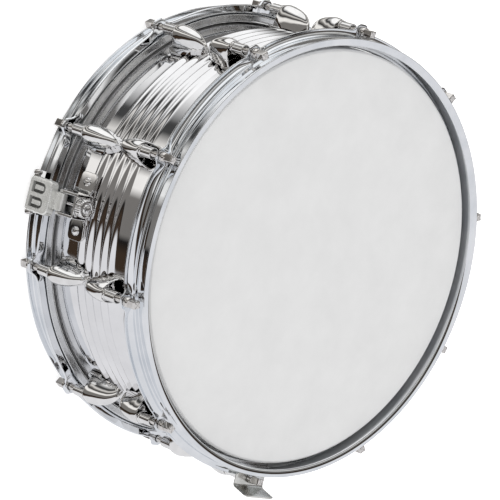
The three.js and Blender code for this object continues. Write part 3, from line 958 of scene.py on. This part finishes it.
def slotted_screw(radius, height):
    """A domed screw head along +Z with a straight slot."""
    profile = [(0, -1), (radius, -1), (radius, 0.3)]
    for k in range(1, 7):
        t = k / 7 * math.pi / 2
        profile.append((radius * math.cos(t), 0.3 + (height - 0.3) * math.sin(t)))
    profile.append((0, height))
    head = spindle(profile, 36)
    slot = rounded_box(-radius - 1, radius + 1, -0.45, 0.45, height - 0.9, height + 1, 0.08, 0.2)
    return carved(head, slot)


def foot_parts(half_height):
    """A curved foot on the beads with two slotted screws."""
    h = half_height
    waist = h - 2.6
    outline = fillet(
        [(-FOOT_HALF, -h), (-15, -h), (-11, -waist), (11, -waist), (15, -h), (FOOT_HALF, -h),
         (FOOT_HALF, h), (15, h), (11, waist), (-11, waist), (-15, h), (-FOOT_HALF, h)],
        [4.5, 3, 3, 3, 3, 4.5, 4.5, 3, 3, 3, 3, 4.5],
        5,
    )
    plate = shifted(slab(outline, 0, FOOT_THICKNESS, 0.45, 10), y=FOOT_MIDDLE)
    parts = [bent(plate, FOOT_RADIUS)]
    screw = slotted_screw(3.9, 2.2)
    for side in (-1, 1):
        placed = moved(screw, Matrix.Rotation(-math.pi / 2, 4, "X"))
        placed = turned(placed, 0.5 * side, "Y")
        placed = shifted(placed, y=FOOT_RADIUS + FOOT_THICKNESS, z=FOOT_MIDDLE)
        parts.append(turned(placed, -side * math.radians(6.6)))
    return parts


def arm_parts(top):
    """The lip, shelf and outer leg that carry the clamp."""
    lip = rounded_box(-ARM_HALF, ARM_HALF, ARM_INSIDE, 190.6, -70.8, ARM_SHELF, 0.5)
    shelf = rounded_box(-ARM_HALF, ARM_HALF, ARM_INSIDE, ARM_OUTSIDE, ARM_SHELF - SHEET, ARM_SHELF, 0.5, 1.2)
    outer = rounded_box(-ARM_HALF, ARM_HALF, 193.9, ARM_OUTSIDE, ARM_SHELF - SHEET, top, 0.6, 1.0)
    return [lip, shelf, outer]


def butt_part():
    web = rounded_box(-ARM_HALF, ARM_HALF, FOOT_RADIUS + 1, ARM_OUTSIDE, -30, BUTT_TOP, 0.6, 1.2)
    hollow = rounded_box(-8, 8, FOOT_RADIUS + 3, 193.9, -31, BUTT_TOP - 2, 0.2, 1.0)
    return joined(carved(web, hollow), *foot_parts(FOOT_HEIGHT / 2), *arm_parts(BUTT_TOP))


CHEEK_INSIDE = 8
CHEEK_OUTSIDE = 10.5
PIVOT_RADIAL = 195.5
PIVOT_HEIGHT = -31
PIN_RADIUS = 1.8
PIN_HALF = 11.6
PIN_GAP = 0.4
SLIDE_GAP = 0.6
KNOB_RADIAL = 188.4
KNOB_RADIUS = 8
KNOB_FLUTES = 30
FLUTE_DEPTH = 0.045
STEM_RADIUS = 1.9
SHELF_TOP = -14.8


def on_pivot(part):
    """A part drawn along Z, laid along the lever's axis."""
    return shifted(turned(part, math.pi / 2, "Y"), y=PIVOT_RADIAL, z=PIVOT_HEIGHT)


def pin_hole():
    """The solid that the hinge pin's hole takes out."""
    radius = PIN_RADIUS + PIN_GAP
    return on_pivot(spindle([(0, -13), (radius, -13), (radius, 13), (0, 13)], 32))


def strainer_base_part():
    root = FOOT_RADIUS + 1
    outline = fillet(
        [(root, -39), (190, -39), (199, -34), (199, -27), (196, SHELF_TOP), (root, SHELF_TOP)],
        [0.5, 4, 3, 4, 2, 0.5],
        6,
    )
    cheeks = []
    for low in (-CHEEK_OUTSIDE, CHEEK_INSIDE):
        cheek = across_x(slab(outline, low, low + CHEEK_OUTSIDE - CHEEK_INSIDE, 0.6))
        cheeks.append(carved(cheek, pin_hole()))
    shelf = rounded_box(-CHEEK_OUTSIDE, CHEEK_OUTSIDE, root, 196, SHELF_TOP - SHEET, SHELF_TOP, 0.5, 2.0)
    stem_hole = spindle([(0, -25), (2.5, -25), (2.5, -5), (0, -5)], 24)
    shelf = carved(shelf, shifted(stem_hole, y=KNOB_RADIAL))
    return joined(shelf, *cheeks, *foot_parts(FOOT_HEIGHT / 2))


def carriage_part():
    """The slide between the cheeks, slotted for the knob's stem, with the arm that takes the clamp."""
    half = CHEEK_INSIDE - SLIDE_GAP
    inside, low, shelf_top = 182.4, -43, -40
    post = rounded_box(-half, half, inside, 190.8, low, -22, 0.4)
    slot = rounded_box(-2.4, 2.4, KNOB_RADIAL - 2.4, 194, -36, -20, 0.1, 0.4)
    shelf = rounded_box(-half, half, inside, ARM_OUTSIDE, low, shelf_top, 0.4, 1.0)
    return joined(carved(post, slot), shelf, *arm_parts(shelf_top))


LEVER_LOW = -65
LEVER_LENGTH = 28.6
LEVER_HALF = 14.5
WINDOW_AWAY = 6.2
WINDOW_HALF = 4.5
WINDOW_FLOOR = 202.8


def arch(middle, low, half, height):
    """An arched window outline in -X and Z."""
    base = [(middle - half, low), (middle + half, low)]
    spring = low + height - half
    dome = [(middle + half * math.cos(t), spring + half * math.sin(t)) for t in np.linspace(0, math.pi, 15)]
    return fillet(base, 0, 1, False).tolist() + dome


def lever_windows(rise, half, height, inside, outside, bevel):
    """A pair of arched slabs side by side on the lever's face."""
    outlines = [arch(side * WINDOW_AWAY, LEVER_LOW + rise, half, height) for side in (-1, 1)]
    return [along_y(slab(outline, inside, outside, bevel)) for outline in outlines]


def lever_part():
    """A rounded block with two arched recesses, a pad in each, and the tongue that turns on the pin."""
    top = LEVER_LOW + LEVER_LENGTH
    h = LEVER_HALF
    block = along_y(
        slab(
            fillet([(-h, LEVER_LOW), (h, LEVER_LOW), (h, top), (-h, top)], [4.5, 4.5, 5.5, 5.5], 8),
            197.6, 206, 1.6, 1, 5,
        )
    )
    windows = lever_windows(4.6, WINDOW_HALF, 17, WINDOW_FLOOR, 208, 0.1)
    pads = lever_windows(7.2, 1.9, 11.4, WINDOW_FLOOR - 0.4, 205.2, 0.5)
    half = CHEEK_INSIDE - SLIDE_GAP
    tongue = across_x(
        slab(
            fillet([(193, top - 2), (200.5, top - 2), (200.5, PIVOT_HEIGHT + 3.5), (193, PIVOT_HEIGHT + 3.5)],
                   [0.6, 1.5, 3.4, 3.2], 6),
            -half, half, 0.5,
        )
    )
    tongue = carved(tongue, pin_hole())
    return joined(carved(block, *windows), *pads, tongue)


def recess_shade_plate_part():
    """A dark plate on the floor of each recess: painted shade, standing in for the shadow that falls inside
    the recess.
    """
    return joined(*lever_windows(4.7, WINDOW_HALF - 0.1, 16.8, WINDOW_FLOOR - 0.2, WINDOW_FLOOR + 0.3, 0.1))


def pin_part():
    low = [(0, -PIN_HALF), (PIN_RADIUS - 0.5, -PIN_HALF), (PIN_RADIUS, -PIN_HALF + 0.4)]
    return on_pivot(spindle(low + [(r, -z) for r, z in reversed(low)], 32))


def knob_part():
    """A dished knob with a fluted rim, on a threaded stem."""
    low, high = SHELF_TOP + 0.6, SHELF_TOP + 8.2
    profile = fillet(
        [(STEM_RADIUS, low), (7.6, low), (KNOB_RADIUS, low + 0.5), (KNOB_RADIUS, high - 1.9),
         (6.9, high - 0.7), (5.2, high - 0.7), (4.7, high - 1.2), (4.1, high - 1.2), (3.4, high - 0.1),
         (1.6, high + 0.45)],
        0.35, 3, False,
    )
    points, faces = spindle(np.vstack([(0, low), profile, (0, high + 0.5)]), KNOB_FLUTES * 8)
    angle = np.arctan2(points[:, 1], points[:, 0])
    radius = np.hypot(points[:, 0], points[:, 1])
    rim = np.clip((radius - 7.2) / 0.8, 0, 1) * np.clip((points[:, 2] - low - 0.4) / 0.4, 0, 1)
    factor = 1 - FLUTE_DEPTH * rim * (0.5 - 0.5 * np.cos(angle * KNOB_FLUTES)) ** 0.6
    points = points * np.column_stack([factor, factor, np.ones(len(points))])
    stem = thread(STEM_RADIUS, low - 19, low - 1.5)
    neck = spindle(
        [(0, low - 1.6), (1.6, low - 1.6), (STEM_RADIUS, low - 1.2),
         (STEM_RADIUS, low + 0.3), (0, low + 0.3)],
        24,
    )
    return shifted(joined((points, faces), stem, neck), y=KNOB_RADIAL)


piece("butt_plate", butt_part(), CAST_CHROME, "drum", ["butt_plate"])
piece("strainer_base", strainer_base_part(), CAST_CHROME, "drum", ["strainer_base"], HALF_TURN)
piece(
    "strainer_carriage", carriage_part(), STEEL, "strainer_carriage", ["strainer_carriage"],
    HALF_TURN,
)
piece("strainer_lever", lever_part(), SATIN, "strainer_lever", ["strainer_lever"], HALF_TURN)
# Painted shade: dark plates in the lever's recesses stand in for the shadow there.
piece("lever_recess_shade", recess_shade_plate_part(), PAINTED_RECESS_SHADE, "strainer_lever", place=HALF_TURN)
piece("lever_pin", pin_part(), STEEL, "drum", ["lever_pin"], HALF_TURN)
piece("strainer_knob", knob_part(), CAST_CHROME, "strainer_knob", ["strainer_knob"], HALF_TURN)


# ---- Floor and world ----

FLOOR_HALF = 6.0
FLOOR_GAP = 0.0005
FLOOR_GLOW = 0.55


def stage_floor():
    """Pale paper just under the drum, with a faint glow; the chrome doesn't reflect it."""
    mesh = bpy.data.meshes.new("floor")
    corners = [(x * FLOOR_HALF, y * FLOOR_HALF, 0) for x, y in ((-1, -1), (1, -1), (1, 1), (-1, 1))]
    mesh.from_pydata(corners, [], [(0, 1, 2, 3)])
    o = bpy.data.objects.new("floor", mesh)
    bpy.context.scene.collection.objects.link(o)
    o.location.z = cad_low.z - FLOOR_GAP
    t = Tree("floor_paper")
    t.feed(t.ramp(t.noise(2.0, 2), [(0.3, (0.90, 0.90, 0.90)), (0.7, (0.92, 0.92, 0.92))]), "Base Color")
    t.shader.inputs["Roughness"].default_value = 0.9
    t.shader.inputs["Emission Color"].default_value = (1, 1, 1, 1)
    t.shader.inputs["Emission Strength"].default_value = FLOOR_GLOW
    mesh.materials.append(t.material)
    o.visible_glossy = False
    o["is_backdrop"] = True


# What the chrome sees of the room, from overhead to underfoot in the picture: ceiling, beams and
# soft boxes, a grey wall, its dark skirting, a wooden floor edge and the paper the drum lies on.
ROOM_DOWN = Vector((0.966, 0.117, 0.231))
CEILING = (1.1, 1.1, 1.1)
SOFT_BOX = (0.97, 0.95, 0.92)
SMALL_BOX = (0.8, 0.78, 0.75)
BEAM = (0.06, 0.06, 0.06)
GREY_WALL = (0.2, 0.19, 0.18)
SKIRTING = (0.01, 0.01, 0.01)
WOOD = (0.045, 0.03, 0.02)
PAPER = (0.8, 0.8, 0.82)
ROOM = [
    (0.00, CEILING),
    (0.08, CEILING),
    (0.13, BEAM),
    (0.15, BEAM),
    (0.18, SMALL_BOX),
    (0.21, GREY_WALL),
    (0.24, SKIRTING),
    (0.27, SOFT_BOX),
    (0.31, SOFT_BOX),
    (0.34, GREY_WALL),
    (0.46, GREY_WALL),
    (0.48, SKIRTING),
    (0.52, WOOD),
    (0.57, WOOD),
    (0.60, PAPER),
    (1.00, PAPER),
]


def studio_world():
    """Plain white light, with the room itself seen only in the chrome."""
    world = bpy.data.worlds.new("studio")
    bpy.context.scene.world = world
    world.use_nodes = True
    nodes, links = world.node_tree.nodes, world.node_tree.links
    background = nodes["Background"]
    place = nodes.new("ShaderNodeTexCoord").outputs["Generated"]
    dot = nodes.new("ShaderNodeVectorMath")
    dot.operation = "DOT_PRODUCT"
    dot.inputs[1].default_value = ROOM_DOWN
    links.new(place, dot.inputs[0])
    scaled = nodes.new("ShaderNodeMapRange")
    scaled.inputs["From Min"].default_value = -1
    scaled.inputs["From Max"].default_value = 1
    links.new(dot.outputs["Value"], scaled.inputs["Value"])
    ramp = nodes.new("ShaderNodeValToRGB")
    elements = ramp.color_ramp.elements
    while len(elements) < len(ROOM):
        elements.new(0.5)
    for element, (position, colour) in zip(elements, ROOM):
        element.position = position
        element.color = (*colour, 1)
    links.new(scaled.outputs["Result"], ramp.inputs["Fac"])
    path = nodes.new("ShaderNodeLightPath")
    mix = nodes.new("ShaderNodeMix")
    mix.data_type = "RGBA"
    links.new(path.outputs["Is Glossy Ray"], mix.inputs["Factor"])
    mix.inputs["A"].default_value = (1, 1, 1, 1)
    links.new(ramp.outputs["Color"], mix.inputs["B"])
    links.new(mix.outputs["Result"], background.inputs["Color"])
    background.inputs["Strength"].default_value = 1.0


stage_floor()
studio_world()
bpy.context.scene.view_settings.view_transform = "Standard"


bpy.context.view_layer.update()
low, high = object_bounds()
